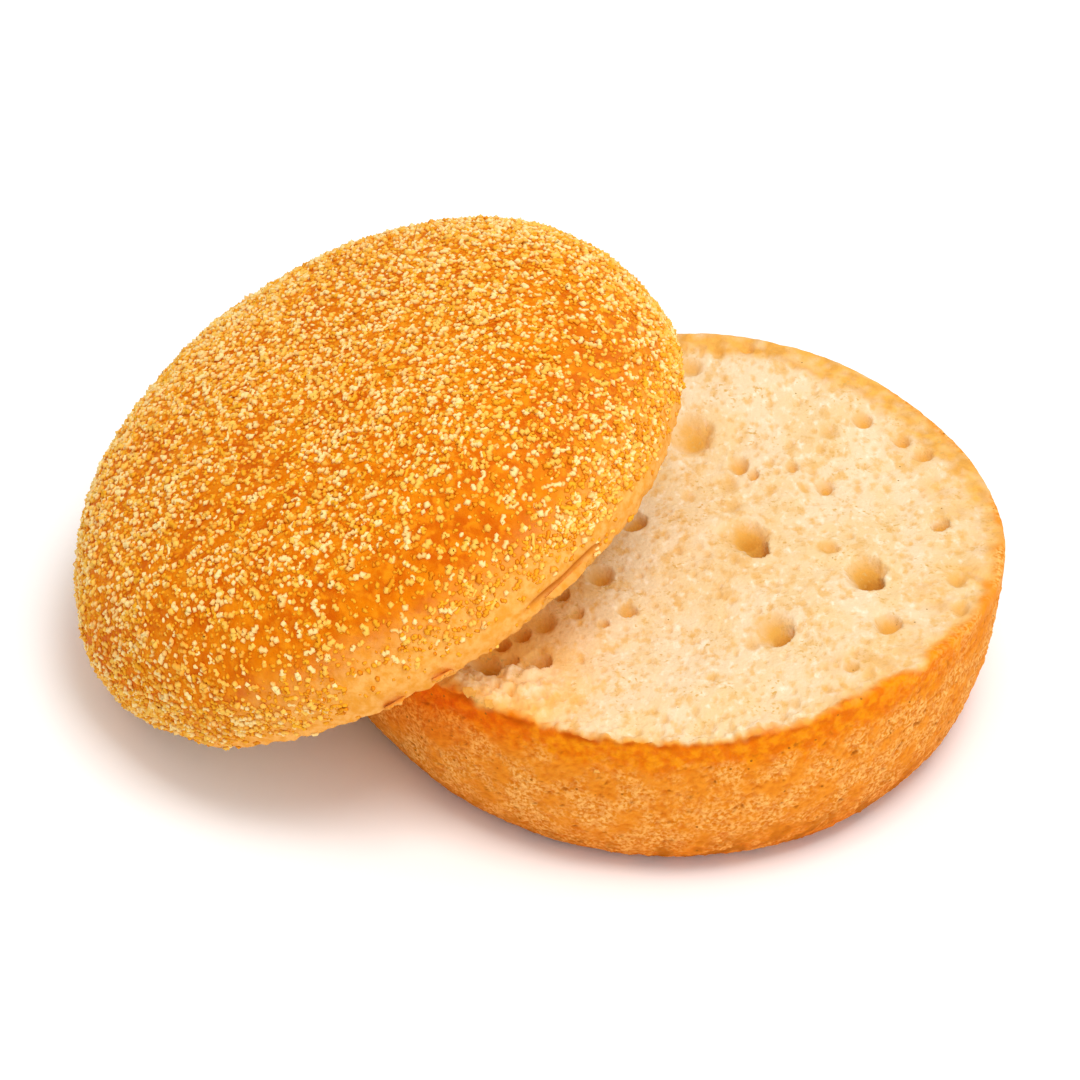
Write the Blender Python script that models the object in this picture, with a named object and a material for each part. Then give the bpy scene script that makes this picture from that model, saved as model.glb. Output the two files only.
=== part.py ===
"""A brioche muffin split in two: the base half lies flat, and the top half leans on its edge.

Metres, +Z up. The origin is the centre of the whole muffin's footprint, on the surface it rests on,
and +X runs from the leaning top half to the base half.
"""

from math import atan2, cos, hypot, pi, radians, sin, tau

import bmesh
import bpy
from mathutils import Matrix, Vector

MM = 0.001

# Both halves.
SEGMENTS = 64  # steps round each half
WALL_RINGS = 15  # steps up each wall
CUT_RINGS = 9  # steps from a cut face's rim to its middle
CUT_WAVE_HEIGHT = 0.25 * MM  # how unevenly a blade goes through soft crumb
CUT_WAVE_LENGTH = 31 * MM
CONTACT_GAP = 0.35 * MM  # what is left between the halves where one presses on the other

# Base half: flat below, wide at its cut face.
BASE_RADIUS = 47.5 * MM
BASE_HEIGHT = 23.6 * MM
BASE_FOOT_RADIUS = 39.9 * MM  # where the flat underside begins to round up
BASE_FULLNESS = 2.18  # 2 is an ellipse, more is squarer
BASE_FOOT_RINGS = 3
BASE_LOBES = ((2, -0.006, radians(128)), (3, 0.016, radians(41)))  # count, share of the radius, turn
BASE_SLOPE = Vector((0.059, -0.048))  # rise of its cut face for each metre along X and Y
BASE_RIM_WAVES = ((2, 1.85 * MM, radians(79)), (3, 1.7 * MM, radians(86)))  # count, height, turn

# Top half: a dome over a short upright edge.
TOP_RADIUS = 46.4 * MM
TOP_HEIGHT = 29.0 * MM
TOP_EDGE_HEIGHT = 2.6 * MM  # the upright edge between the cut face and the dome
TOP_EDGE_INSET = 1.5 * MM  # how far the cut's rim lies inside the widest ring
TOP_FULLNESS = 2.55
TOP_LOBES = ((2, 0.007, radians(92)), (3, -0.009, radians(47)))

# How the top half leans.
LEAN = radians(31.3)
LEAN_TOWARDS = radians(176.8)  # the horizontal direction that its dome tips to, from +X
TOP_FROM_BASE = Vector((-37.4, 2.0)) * MM  # its cut face's centre from the base's, seen from above


def lobed(angle, lobes):
    """How much further out than a true circle the outline lies at this angle, as a factor."""
    return 1 + sum(share * cos(count * (angle - turn)) for count, share, turn in lobes)


def cut_wave(x, y):
    """The height of the gentle waves that a cut face has."""
    step = tau / CUT_WAVE_LENGTH
    return CUT_WAVE_HEIGHT * (sin(step * x + 0.6) * cos(step * y * 0.8) + cos(step * (x + 2 * y) / 3))


def quarter(rings, fullness):
    """Points of a superellipse's quarter, from (0, 1) to (1, 0)."""
    turns = [pi / 2 * ring / rings for ring in range(rings + 1)]
    return [(abs(sin(turn)) ** (2 / fullness), abs(cos(turn)) ** (2 / fullness)) for turn in turns]


def turned(name, profile):
    """A closed mesh object: a profile of (radius, height) points, both ends on the axis, spun round."""
    shape = bmesh.new()
    points = [shape.verts.new((radius, 0, height)) for radius, height in profile]
    edges = [shape.edges.new(pair) for pair in zip(points, points[1:])]
    bmesh.ops.spin(
        shape, geom=points + edges, cent=(0, 0, 0), axis=(0, 0, 1), dvec=(0, 0, 0),
        angle=tau, steps=SEGMENTS, use_merge=True, use_duplicate=False,
    )
    bmesh.ops.remove_doubles(shape, verts=shape.verts, dist=1e-6)
    bmesh.ops.recalc_face_normals(shape, faces=shape.faces)
    mesh = bpy.data.meshes.new(name)
    shape.to_mesh(mesh)
    shape.free()
    mesh.shade_smooth()
    mesh.set_sharp_from_angle(angle=radians(40))
    made = bpy.data.objects.new(name, mesh)
    bpy.context.scene.collection.objects.link(made)
    return made


def base_profile():
    """From the middle of the cut face, over the rim, down the wall and in to the middle of the foot."""
    cut = [(BASE_RADIUS * ring / CUT_RINGS, BASE_HEIGHT) for ring in range(CUT_RINGS)]
    rounding = BASE_RADIUS - BASE_FOOT_RADIUS
    wall = [
        (BASE_FOOT_RADIUS + rounding * out, BASE_HEIGHT * (1 - down))
        for down, out in quarter(WALL_RINGS, BASE_FULLNESS)
    ]
    foot = [
        (BASE_FOOT_RADIUS * (1 - ring / BASE_FOOT_RINGS), 0.0) for ring in range(1, BASE_FOOT_RINGS + 1)
    ]
    return cut + wall + foot


def top_profile():
    """From the middle of the dome, down to the upright edge's foot and in to the middle of the cut face."""
    rise = TOP_HEIGHT - TOP_EDGE_HEIGHT
    dome = [
        (TOP_RADIUS * out, TOP_EDGE_HEIGHT + rise * up) for out, up in quarter(WALL_RINGS, TOP_FULLNESS)
    ]
    rim = TOP_RADIUS - TOP_EDGE_INSET
    cut = [(rim * (1 - ring / CUT_RINGS), 0.0) for ring in range(CUT_RINGS + 1)]
    return dome + cut


def lean_matrix(centre):
    """The leaning top half's place: its cut face centred on this point, its dome tipped over."""
    axis = Vector((-sin(LEAN_TOWARDS), cos(LEAN_TOWARDS), 0))
    return Matrix.Translation(centre) @ Matrix.Rotation(LEAN, 4, axis)


def shape_base(base, under_top):
    """Makes the turned base uneven, slopes its cut face and presses it down under the top half."""
    for vertex in base.data.vertices:
        x, y, z = vertex.co
        angle, out = atan2(y, x), hypot(x, y) / BASE_RADIUS
        x, y = x * lobed(angle, BASE_LOBES), y * lobed(angle, BASE_LOBES)
        rim = sum(height * cos(count * (angle - turn)) for count, height, turn in BASE_RIM_WAVES)
        top = BASE_HEIGHT + BASE_SLOPE.dot((x, y)) + rim * out**2 + cut_wave(x, y) * (1 - out**4)
        z *= min(top, under_top(x, y)) / BASE_HEIGHT
        vertex.co = x, y, z


def shape_top(top):
    """Makes the turned top half uneven."""
    for vertex in top.data.vertices:
        x, y, z = vertex.co
        angle, out = atan2(y, x), hypot(x, y) / TOP_RADIUS
        x, y = x * lobed(angle, TOP_LOBES), y * lobed(angle, TOP_LOBES)
        if z < TOP_EDGE_HEIGHT / 2:
            z += cut_wave(y, x) * (1 - out**4)
        vertex.co = x, y, z


def crust(name, colour, roughness):
    """A baked crust's plain finish: its colour in linear numbers, and how dull it is."""
    material = bpy.data.materials.new(name)
    material.use_nodes = True
    shader = material.node_tree.nodes["Principled BSDF"]
    shader.inputs["Base Color"].default_value = (*colour, 1)
    shader.inputs["Roughness"].default_value = roughness
    shader.inputs["Metallic"].default_value = 0
    return material


def lowest(obj, matrix):
    return min((matrix @ vertex.co).z for vertex in obj.data.vertices)


def centre_on_footprint(objects):
    """Moves the objects so that their common box stands on the origin, centred over it."""
    bpy.context.view_layer.update()
    corners = [obj.matrix_world @ vertex.co for obj in objects for vertex in obj.data.vertices]
    low = [min(corner[axis] for corner in corners) for axis in range(3)]
    high = [max(corner[axis] for corner in corners) for axis in range(3)]
    for obj in objects:
        obj.location -= Vector(((low[0] + high[0]) / 2, (low[1] + high[1]) / 2, low[2]))


def build():
    for old in list(bpy.data.objects):
        bpy.data.objects.remove(old)

    top = turned("top_half", top_profile())
    shape_top(top)
    lean = lean_matrix(Vector((*TOP_FROM_BASE, 0)))
    lean.translation.z -= lowest(top, lean)  # its lower edge touches what the base lies on
    top.matrix_world = lean

    start = lean.translation
    normal = lean.to_3x3() @ Vector((0, 0, 1))
    room = CONTACT_GAP + 2 * CUT_WAVE_HEIGHT  # the waves of both cut faces stay apart

    def under_top(x, y):
        """The height of the top half's cut face over this point of the base, less the gap."""
        drop = (normal.x * (x - start.x) + normal.y * (y - start.y)) / normal.z
        return start.z - drop - room

    base = turned("bottom_half", base_profile())
    shape_base(base, under_top)

    top.data.materials.append(crust("top_crust", (0.78, 0.32, 0.05), 0.6))
    base.data.materials.append(crust("base_crust", (0.78, 0.38, 0.11), 0.65))
    centre_on_footprint([base, top])


build()
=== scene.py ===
# %% [markdown]
# # A split brioche muffin
# A brioche muffin is a soft, flat-bottomed bun, dusted with semolina and baked until its dome is golden.
# This one has been pulled apart across its middle: the base half lies flat with its crumb showing, and
# the top half leans on its edge. The CAD halves give the true outline and place. All that makes them
# look like bread is added here: bubbles in the crumb, the skin of the crust, and thousands of grains.

# %% Load the frame
from math import cos, pi, radians, sin, tau

import bpy
import numpy as np
from mathutils import Matrix, Vector
from mathutils.bvhtree import BVHTree


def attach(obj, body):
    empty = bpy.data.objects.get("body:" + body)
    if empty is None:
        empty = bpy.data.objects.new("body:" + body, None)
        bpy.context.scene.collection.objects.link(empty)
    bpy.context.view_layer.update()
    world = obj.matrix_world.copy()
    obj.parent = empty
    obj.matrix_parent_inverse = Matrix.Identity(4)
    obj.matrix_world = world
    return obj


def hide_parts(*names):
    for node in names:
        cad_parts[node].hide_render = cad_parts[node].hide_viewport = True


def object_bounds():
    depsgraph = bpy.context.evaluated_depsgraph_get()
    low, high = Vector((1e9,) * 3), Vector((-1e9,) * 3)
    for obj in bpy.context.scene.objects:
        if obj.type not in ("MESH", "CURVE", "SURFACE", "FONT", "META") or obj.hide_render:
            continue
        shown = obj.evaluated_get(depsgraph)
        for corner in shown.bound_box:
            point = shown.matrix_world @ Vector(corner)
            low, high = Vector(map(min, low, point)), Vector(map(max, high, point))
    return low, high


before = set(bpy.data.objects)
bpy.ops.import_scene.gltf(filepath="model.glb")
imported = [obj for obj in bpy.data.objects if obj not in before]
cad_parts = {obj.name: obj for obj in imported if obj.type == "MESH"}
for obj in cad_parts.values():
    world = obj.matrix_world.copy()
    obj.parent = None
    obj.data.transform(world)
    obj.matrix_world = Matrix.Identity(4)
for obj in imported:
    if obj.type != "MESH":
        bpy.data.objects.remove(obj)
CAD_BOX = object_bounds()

MM = 0.001
X, Z = Vector((1, 0, 0)), Vector((0, 0, 1))
BASE_CAD, TOP_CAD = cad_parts["bottom_half"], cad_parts["top_half"]
print("CAD box, mm:", [[round(value / MM, 1) for value in corner] for corner in CAD_BOX])

# %% [markdown]
# ## Looking at it
# A long lens far away flattens perspective, as product pictures do. The camera is placed by the point
# it looks at, its height above the horizon, its distance and a slight roll, so that each can change on
# its own. Its matrix is built from three directions, which is plainer than three Euler angles.

# %% Camera
AIM = Vector((-0.1, -2.7, 23.2)) * MM
CAMERA_HEIGHT = radians(37.6)
CAMERA_ROLL = radians(3.15)
CAMERA_DISTANCE = 904 * MM
LENS_MM = 217.6


def place_camera():
    """A camera that looks at AIM from in front and above, rolled a little."""
    forward = Vector((0, cos(CAMERA_HEIGHT), -sin(CAMERA_HEIGHT)))
    level_up = Vector((0, sin(CAMERA_HEIGHT), cos(CAMERA_HEIGHT)))
    right = X * cos(CAMERA_ROLL) + level_up * sin(CAMERA_ROLL)
    up = level_up * cos(CAMERA_ROLL) - X * sin(CAMERA_ROLL)
    camera = bpy.data.objects.new("camera", bpy.data.cameras.new("camera"))
    camera.data.lens = LENS_MM
    camera.data.sensor_width = 36
    camera.data.clip_end = 10
    turn = Matrix((right, up, -forward)).transposed().to_4x4()
    camera.matrix_world = Matrix.Translation(AIM - forward * CAMERA_DISTANCE) @ turn
    bpy.context.scene.collection.objects.link(camera)
    bpy.context.scene.camera = camera


place_camera()

# %% [markdown]
# ## Each half's own frame
# Sculpting is easier in a frame that fits the piece. The cut face is the half's largest flat side, so
# the faces that look the same way as most of the area are the cut face. Its middle becomes the origin,
# and +Z points out of the crumb, for the leaning top half as for the base.

# %% Find the cut faces
SAME_WAY = radians(12)  # a cut through soft crumb waves by about this much


def seat_of(cad):
    """A half's own frame as a matrix: its cut face's middle at the origin, +Z out of the crumb."""
    faces = cad.data.polygons
    normals = np.array([face.normal for face in faces])
    areas = np.array([face.area for face in faces])
    alike = normals @ normals.T > cos(SAME_WAY)
    cut = alike[np.argmax(alike @ areas)]
    out = Vector(areas[cut] @ normals[cut]).normalized()
    across = (X - X.project(out)).normalized()
    turn = np.array((across, out.cross(across), out))
    corners = np.array([vertex.co for vertex in cad.data.vertices]) @ turn.T
    heights = np.array([face.center for face in faces])[cut] @ turn[2]
    middle = (corners.min(0) + corners.max(0)) / 2
    middle[2] = areas[cut] @ heights / areas[cut].sum()
    return Matrix.Translation(middle @ turn) @ Matrix(turn.T).to_4x4()


BASE_SEAT, TOP_SEAT = seat_of(BASE_CAD), seat_of(TOP_CAD)
for seat in (BASE_SEAT, TOP_SEAT):
    print("a cut's middle, mm:", [round(value / MM, 1) for value in seat.translation])

# %% [markdown]
# ## Measuring the CAD skin
# The CAD halves are faceted. A finer skin needs to know where their surface lies at any angle round
# the axis and any distance along it. Rays find that: straight down onto the cut face, then outwards
# from a point inside for the wall. Each half-plane through the axis gives one curve of (radius, height)
# from the middle of the cut face, over the rim and back to the axis. Averaging neighbours takes the
# facets away, and a lighter pass over everything rounds the rim.

# %% Rays onto the CAD halves
TURNS = 360  # curves measured round each half
CUT_STEPS = 180  # points on each from the middle to the rim
WALL_STEPS = 240  # and from the rim down to the axis
LOOK_FROM = 60 * MM  # above any point of a cut face
FLAT_ENOUGH = 0.8  # a cut face's normal rises at least this much
EYE_DEPTH = 0.4  # of a half's own depth, for the point inside
RIM_EXACT = 0.005 * MM  # how exactly the rim is found
FACET_PASSES, RIM_PASSES = 60, 6


def smooth_along(curves, passes):
    """Averages each point with its neighbours along its curve. The ends stay."""
    for _ in range(passes):
        curves[:, 1:-1] = (curves[:, :-2] + 2 * curves[:, 1:-1] + curves[:, 2:]) / 4


def smooth_round(curves, passes):
    """Averages each curve with its neighbours round the half."""
    for _ in range(passes):
        curves = (np.roll(curves, 1, 0) + 2 * curves + np.roll(curves, -1, 0)) / 4
    return curves


def measure(cad, seat):
    """The half's skin: for each angle, points of (radius, height) from the cut's middle to the axis."""
    points = [seat.inverted() @ vertex.co for vertex in cad.data.vertices]
    tree = BVHTree.FromPolygons(points, [face.vertices[:] for face in cad.data.polygons])
    eye = Vector((0, 0, EYE_DEPTH * min(point.z for point in points)))
    curves = []
    for angle in np.arange(TURNS) * tau / TURNS:
        side = Vector((cos(angle), sin(angle), 0))

        def cut_at(radius):
            spot, normal, _, _ = tree.ray_cast(side * radius + Z * LOOK_FROM, -Z)
            return spot if spot and normal.z > FLAT_ENOUGH else None

        near, far = 0.0, LOOK_FROM
        while far - near > RIM_EXACT:
            middle = (near + far) / 2
            near, far = (middle, far) if cut_at(middle) else (near, middle)
        reaches = [near * step / CUT_STEPS for step in range(CUT_STEPS + 1)]
        curve = [(reach, cut_at(reach).z) for reach in reaches]
        start = np.arctan2(curve[-1][1] - eye.z, near)
        for step in range(1, WALL_STEPS + 1):
            tilt = start + (-pi / 2 - start) * step / WALL_STEPS
            spot = tree.ray_cast(eye, side * cos(tilt) + Z * sin(tilt))[0]
            curve.append((spot.to_2d().length, spot.z))
        curves.append(curve)
    curves = smooth_round(np.array(curves), FACET_PASSES)
    smooth_along(curves[:, : CUT_STEPS + 1], FACET_PASSES)
    smooth_along(curves[:, CUT_STEPS:], FACET_PASSES)
    smooth_along(curves, RIM_PASSES)
    return curves / MM


BASE_SKIN = measure(BASE_CAD, BASE_SEAT)
TOP_SKIN = measure(TOP_CAD, TOP_SEAT)
for label, skin in (("base", BASE_SKIN), ("top", TOP_SKIN)):
    rims = skin[:, CUT_STEPS, 0]
    print(f"{label}: rim radius {rims.min():.1f} to {rims.max():.1f} mm")

# %% [markdown]
# ## A grid folded into a disc
# A skin can be a polar grid, but its cells shrink to slivers at the axis. Here a square grid is folded
# into a disc instead: each square ring of it becomes a circle, so every cell stays about as wide as it
# is long. Each half has two such sheets, the crumb of its cut face and the crust round it, and they
# share their outer ring. From here on, sizes in a half's own frame are in millimetres.

# %% Sheets of skin
RIM_BAND = 1.2  # mm of the cut face's edge that belong to the crust's sheet


def border(n):
    """The places in an n by n grid that lie on its outer ring, in order, as flat indices."""
    last, way = n - 1, np.arange(n - 1)
    rows = np.concatenate([np.full(last, last), last - way, np.zeros(last, int), way])
    columns = np.concatenate([way, np.full(last, last), last - way, np.zeros(last, int)])
    return rows * n + columns


def cells_of(n):
    """The faces of an n by n grid."""
    at = np.arange(n * n).reshape(n, n)
    return np.stack([at[:-1, :-1], at[1:, :-1], at[1:, 1:], at[:-1, 1:]], -1).reshape(-1, 4)


def band(one, other):
    """The faces between two closed rings of points."""
    return np.stack([one, other, np.roll(other, -1), np.roll(one, -1)], -1)


def fold(rings):
    """The angle and the ring of each place in a square grid whose square rings are turned to circles."""
    i, j = np.mgrid[-rings : rings + 1, -rings : rings + 1]
    wide = np.abs(i) >= np.abs(j)
    slope = np.where(wide, j, i) / np.maximum(np.abs(np.where(wide, i, j)), 1)
    eighths = np.where(wide, slope * np.sign(i), 2 - slope * np.sign(j))
    angle = (eighths * pi / 4 + pi * (np.where(wide, i, j) < 0)) % tau
    return angle, np.maximum(np.abs(i), np.abs(j))


class Sheet:
    """Points in a folded grid over a measured skin, with their distance past the rim."""

    def __init__(self, skin, rings, crust, pace=((0, 1), (0, 1))):
        steps = np.hypot(*np.diff(skin, axis=1).transpose(2, 0, 1))
        along = np.concatenate([np.zeros((TURNS, 1)), np.cumsum(steps, axis=1)], axis=1)
        rows = np.empty((rings + 1, TURNS, 3))
        share = np.interp(np.arange(rings + 1) / rings, *pace)
        for turn in range(TURNS):
            rim = along[turn, CUT_STEPS]
            start = along[turn, -1] if crust else 0.0
            stops = start + (rim - RIM_BAND - start) * share
            rows[:, turn, 0] = np.interp(stops, along[turn], skin[turn, :, 0])
            rows[:, turn, 1] = np.interp(stops, along[turn], skin[turn, :, 1])
            rows[:, turn, 2] = stops - rim
        self.angle, self.ring = fold(rings)
        column = self.angle / tau * TURNS
        left, part = np.floor(column).astype(int) % TURNS, (column % 1)[..., None]
        spot = rows[self.ring, left] * (1 - part) + rows[self.ring, (left + 1) % TURNS] * part
        x, y = spot[..., 0] * np.cos(self.angle), spot[..., 0] * np.sin(self.angle)
        self.points = np.stack([x, y, spot[..., 1]], -1)
        self.past_rim = spot[..., 2]  # below 0 on the cut face, above 0 down the wall
        self.crust = crust
        self.marks = {}

    def normals(self):
        """The direction out of the skin at each point."""
        across, up = np.gradient(self.points, axis=0), np.gradient(self.points, axis=1)
        out = np.cross(across, up) * (-1 if self.crust else 1)
        return out / np.linalg.norm(out, axis=-1, keepdims=True)

    def push(self, heights):
        """Moves every point out of the skin by its height."""
        self.points = self.points + self.normals() * heights[..., None]


BASE_RINGS, TOP_RINGS = 142, 88
BASE_CRUMB = Sheet(BASE_SKIN, BASE_RINGS, crust=False)
BASE_CRUST = Sheet(BASE_SKIN, BASE_RINGS, crust=True, pace=((0, 0.25, 1), (0, 0.55, 1)))
TOP_CRUMB = Sheet(TOP_SKIN, TOP_RINGS, crust=False)
TOP_CRUST = Sheet(TOP_SKIN, TOP_RINGS, crust=True, pace=((0, 0.65, 1), (0, 0.85, 1)))
print("a cell of the base's crumb is about", round(BASE_SKIN[0, CUT_STEPS, 0] / BASE_RINGS, 2), "mm wide")

# %% [markdown]
# ## Random, but the same each time
# Bread is uneven at every size, from the sway of the whole cut down to the foam. Gradient noise gives
# smooth hills of one size. Adding it at several sizes gives dough. Blender's own noise works on one
# point at a time, and there are over 200,000 here, so this one works on whole arrays.

# %% Noise for arrays
PRIMES = (73856093, 19349663, 83492791)  # these stir three whole numbers into one
DIRECTIONS = 4096
TO_ONE = 1.6  # brings the highest hills to about 1


def hills(points, size, seed):
    """Smooth noise between about -1 and 1, whose hills are `size` across, at each of an array of points."""
    random = np.random.default_rng(seed)
    table = random.normal(size=(DIRECTIONS, 3))
    table /= np.linalg.norm(table, axis=1, keepdims=True)
    spot = points / size + random.uniform(0, 100, 3)
    cell = np.floor(spot).astype(np.int64)
    part = spot - cell
    ease = part**3 * (part * (part * 6 - 15) + 10)
    total = 0
    for corner in np.ndindex(2, 2, 2):
        x, y, z = np.moveaxis((cell + corner) * PRIMES, -1, 0)
        pick = (x ^ y ^ z) % DIRECTIONS
        weight = np.prod(np.where(corner, ease, 1 - ease), axis=-1)
        total = total + weight * np.einsum("...k,...k", table[pick], part - corner)
    return total * TO_ONE


def dough(points, sizes, seed):
    """Several sizes of hills together: sizes is a list of (size, height) in mm."""
    return sum(height * hills(points, size, seed + step) for step, (size, height) in enumerate(sizes))


def ramp(values, low, high):
    """0 below low, 1 above high, and an even S between. It runs down if low is the larger."""
    share = np.clip((values - low) / (high - low), 0, 1)
    return share * share * (3 - 2 * share)


# %% [markdown]
# ## Bubbles
# Crumb is a foam of bubbles that yeast blew in soft dough. A cut opens those that it meets, so each
# shows as a bowl. A shallow cut leaves a soft dent, and a bubble whose middle lies below the cut keeps
# a sharp lip. Pulling the halves apart drags the crumb, which stretches the bowls and makes them lean,
# so that one side hangs over. Sculpting each bubble as a part of a ball, pressed in along a slanting
# line, gives all of these.

# %% Opening bubbles
REACH = 46.0  # mm from the middle of a cut face to its furthest bubbles
LEAN = np.array((0.3, -0.2, -1.0))  # the way a bubble goes into the crumb
DRAWN = np.array((1, 0.62, 1))  # squeezes places, so noise over them is drawn out along Y, as the crumb was


def off_rim(sheet, width):
    """0 on the ring that both sheets of a half share, 1 beyond this many mm from it."""
    return ramp(np.abs(sheet.past_rim + RIM_BAND), 0, width)


def open_bubbles(sheet, bubbles, seed, ragged_edge=0.25, tint=1.0):
    """Presses bowls into a crumb sheet and marks how hollow it is.

    Each bubble is (x, y, width, length, depth, sharpness), in mm."""
    points = sheet.points
    rough = 1 + 0.2 * hills(points, 3.0, seed) + ragged_edge * hills(points, 1.1, seed + 1)
    drop = np.zeros(points.shape[:2])
    shade = np.zeros(points.shape[:2])
    for x, y, width, length, depth, sharp in bubbles:
        near = (np.abs(points[..., 0] - x) < 0.7 * width) & (np.abs(points[..., 1] - y) < 0.7 * length)
        away = np.hypot((points[near][:, 0] - x) / width, (points[near][:, 1] - y) / length) * 2
        inside = np.clip(1 - (away * rough[near]) ** 2, 0, 1)
        dip = depth * (sharp * inside**0.5 + (1 - sharp) * inside**2)
        drop[near] = np.maximum(drop[near], dip)
        shade[near] = np.maximum(shade[near], inside**0.6 * (0.42 + 0.58 * ramp(dip, 0.5, 3.0)))
    drop = drop * off_rim(sheet, 1.5)
    sheet.points = points + drop[..., None] * LEAN
    sheet.marks["hollow"] = np.maximum(sheet.marks.get("hollow", 0), shade * tint)


def scattered(count, widths, flatness, sharp, seed):
    """Bubbles at random over a cut face, in loose crowds, small ones the most common."""
    random = np.random.default_rng(seed)
    radius, angle = REACH * np.sqrt(random.random(count)), tau * random.random(count)
    width = widths[0] + (widths[1] - widths[0]) * random.random(count) ** 2.5
    depth = width * flatness * random.uniform(0.6, 1.3, count)
    length = width * random.uniform(1.2, 1.9, count)
    x, y = radius * np.cos(angle), radius * np.sin(angle)
    crowd = hills(np.stack([x, y, 0 * x], -1), 9, seed)
    rows = np.stack([x, y, width, length, depth, np.full(count, sharp)], -1)
    return rows[crowd > random.uniform(-0.9, 0.5, count)]


# %% The bubbles that everyone would notice
# x, y, width, length, depth, sharpness
BIG_BUBBLES = (
    (11.5, 0.5, 7, 9.5, 2.2, 0.25),
    (13, -2.5, 3.6, 5.5, 4.6, 0.85),
    (28, -7.5, 6, 9, 2.2, 0.4),
    (28.5, -9, 4, 5.5, 5.4, 0.8),
    (15.5, -22, 6, 8.5, 1.3, 0.3),
    (16.5, -23, 3.4, 5, 3.4, 0.7),
    (31, -20.5, 4.2, 5.5, 1.7, 0.6),
    (38.5, 6, 2.8, 3.6, 2.2, 0.7),
    (23, -1.5, 3.4, 4, 0.7, 0.2),
    (-4, 4, 4, 5, 2.6, 0.7),
    (-23, -32.5, 5, 5, 3, 0.5),
    (-20, -30.5, 2.6, 3.4, 1.6, 0.6),
    (-16, -30, 3.2, 4.5, 2.6, 0.8),
    (-8.5, -9, 4, 5, 1.4, 0.4),
    (-21.5, -26.5, 2.8, 3.4, 2, 0.6),
    (-18.8, -23.5, 3, 3.8, 1.3, 0.4),
    (-15.8, -21, 4.4, 6, 1.1, 0.2),
    (-13.6, -14.2, 2.4, 3.2, 1.8, 0.6),
    (-11.2, -18.6, 2.2, 3.2, 0.9, 0.4),
    (-7.6, -20.8, 1.6, 2.2, 0.9, 0.5),
    (-4.5, -17.5, 2.6, 3.6, 1.2, 0.5),
    (4, 24.5, 7, 9.5, 1.4, 0.1),
    (10.5, 18, 3, 4.5, 1.1, 0.3),
    (12.5, 16, 1.8, 2.8, 1.2, 0.5),
    (22.5, 14, 2.6, 4, 1.3, 0.4),
    (28, 29.5, 3.4, 4, 1.2, 0.3),
    (33.5, 26, 2.8, 3.6, 1.3, 0.4),
    (36.5, 23, 3.4, 3.8, 1.2, 0.3),
    (3.5, 39.5, 4, 4.6, 0.8, 0.2),
    (5.5, 26, 3.4, 4.4, 0.8, 0.3),
    (11.5, 44, 2.6, 3, 1, 0.3),
    (41, -16, 2.8, 4.4, 0.8, 0.3),
    (40.5, -8.5, 3, 4, 0.8, 0.3),
    (18, 18, 2, 3, 0.9, 0.3),
    (26, -31, 2.2, 2.6, 0.7, 0.3),
)


# %% [markdown]
# ## The cut face
# The halves were pulled apart more than sliced, so the face sways, and where it tore it stands up in
# soft lumps. Between the bubbles that show, the foam itself is finer than a millimetre and nearly
# smooth, so most of its relief is low.

# %% Sculpting a cut face
TORN = np.array((-21.0, -36.0, 0.0))  # where the base's crumb tore instead of parting
FRONT = radians(-103)  # the direction in which the base's lip hangs furthest


def facing(sheet, direction, narrow=0.45, wide=0.9):
    """1 on the side that looks in this direction, 0 well round from it."""
    return ramp(np.cos(sheet.angle - direction), narrow, wide)


def sway(sheet, seed):
    """The slow ups and downs of a cut face, alike in both sheets of a half where they meet."""
    lift = dough(sheet.points * (1, 1, 0), ((17, 0.5), (7, 0.3), (3, 0.12)), seed)
    sheet.points[..., 2] += lift * ramp(sheet.past_rim, 1.0, -1.0)


def tear(sheet, seed):
    """Lumps and gaps where crumb was pulled off in tufts."""
    away = np.linalg.norm((sheet.points - TORN) * (1 / 9.0, 1 / 5.5, 0), axis=-1)
    lumps = dough(sheet.points * (1, 1, 0.5), ((3.0, 0.8), (1.5, 0.65), (0.8, 0.36)), seed)
    there = ramp(away, 1.3, 0.5) * ramp(sheet.past_rim, 2.5, -0.5)
    sheet.points[..., 2] += (lumps + 0.35) * there
    sheet.marks["torn"] = there
    # Low places between the lumps get the hollow mark, for painted shade.
    sheet.marks["hollow"] = np.maximum(sheet.marks.get("hollow", 0), 0.5 * there * ramp(lumps, 0.2, -0.8))


def fray(sheet, seed):
    """Small tufts along the rim, most of all in front, alike in both sheets of a half."""
    height = 0.1 + 0.9 * facing(sheet, FRONT, 0.2, 0.9)
    tufts = dough(sheet.points * (1, 1, 0), ((2.6, 0.4), (1.2, 0.35), (0.7, 0.2)), seed)
    at_rim = ramp(sheet.past_rim, -4.5, -1.5) * ramp(sheet.past_rim, 1.5, 0.2)
    sheet.points[..., 2] += tufts * height * at_rim


def sculpt_crumb(sheet, bubbles, seed):
    """Gives a cut face its sway, its bubbles and its foam."""
    sway(sheet, seed)
    open_bubbles(sheet, bubbles, seed + 10, ragged_edge=0.07)
    open_bubbles(sheet, scattered(110, (1.2, 3.4), 0.17, 0.3, seed + 20), seed + 21, tint=0.75)
    open_bubbles(sheet, scattered(1400, (0.6, 1.3), 0.17, 0.5, seed + 30), seed + 31, tint=0.6)
    spots = sheet.points * DRAWN
    crowds = ramp(hills(spots, 7, seed + 35), -0.3, 0.5)
    pores = ramp(dough(spots, ((1.4, 0.6), (0.75, 0.6)), seed + 36), 0.25, 0.75) * (0.3 + 0.7 * crowds)
    foam = dough(spots, ((2.2, 0.07), (1.1, 0.05), (0.65, 0.025)), seed + 40)
    sheet.push((foam - 0.13 * pores) * off_rim(sheet, 1.0))
    sheet.marks["hollow"] = np.maximum(sheet.marks["hollow"], 0.3 * pores)


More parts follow.
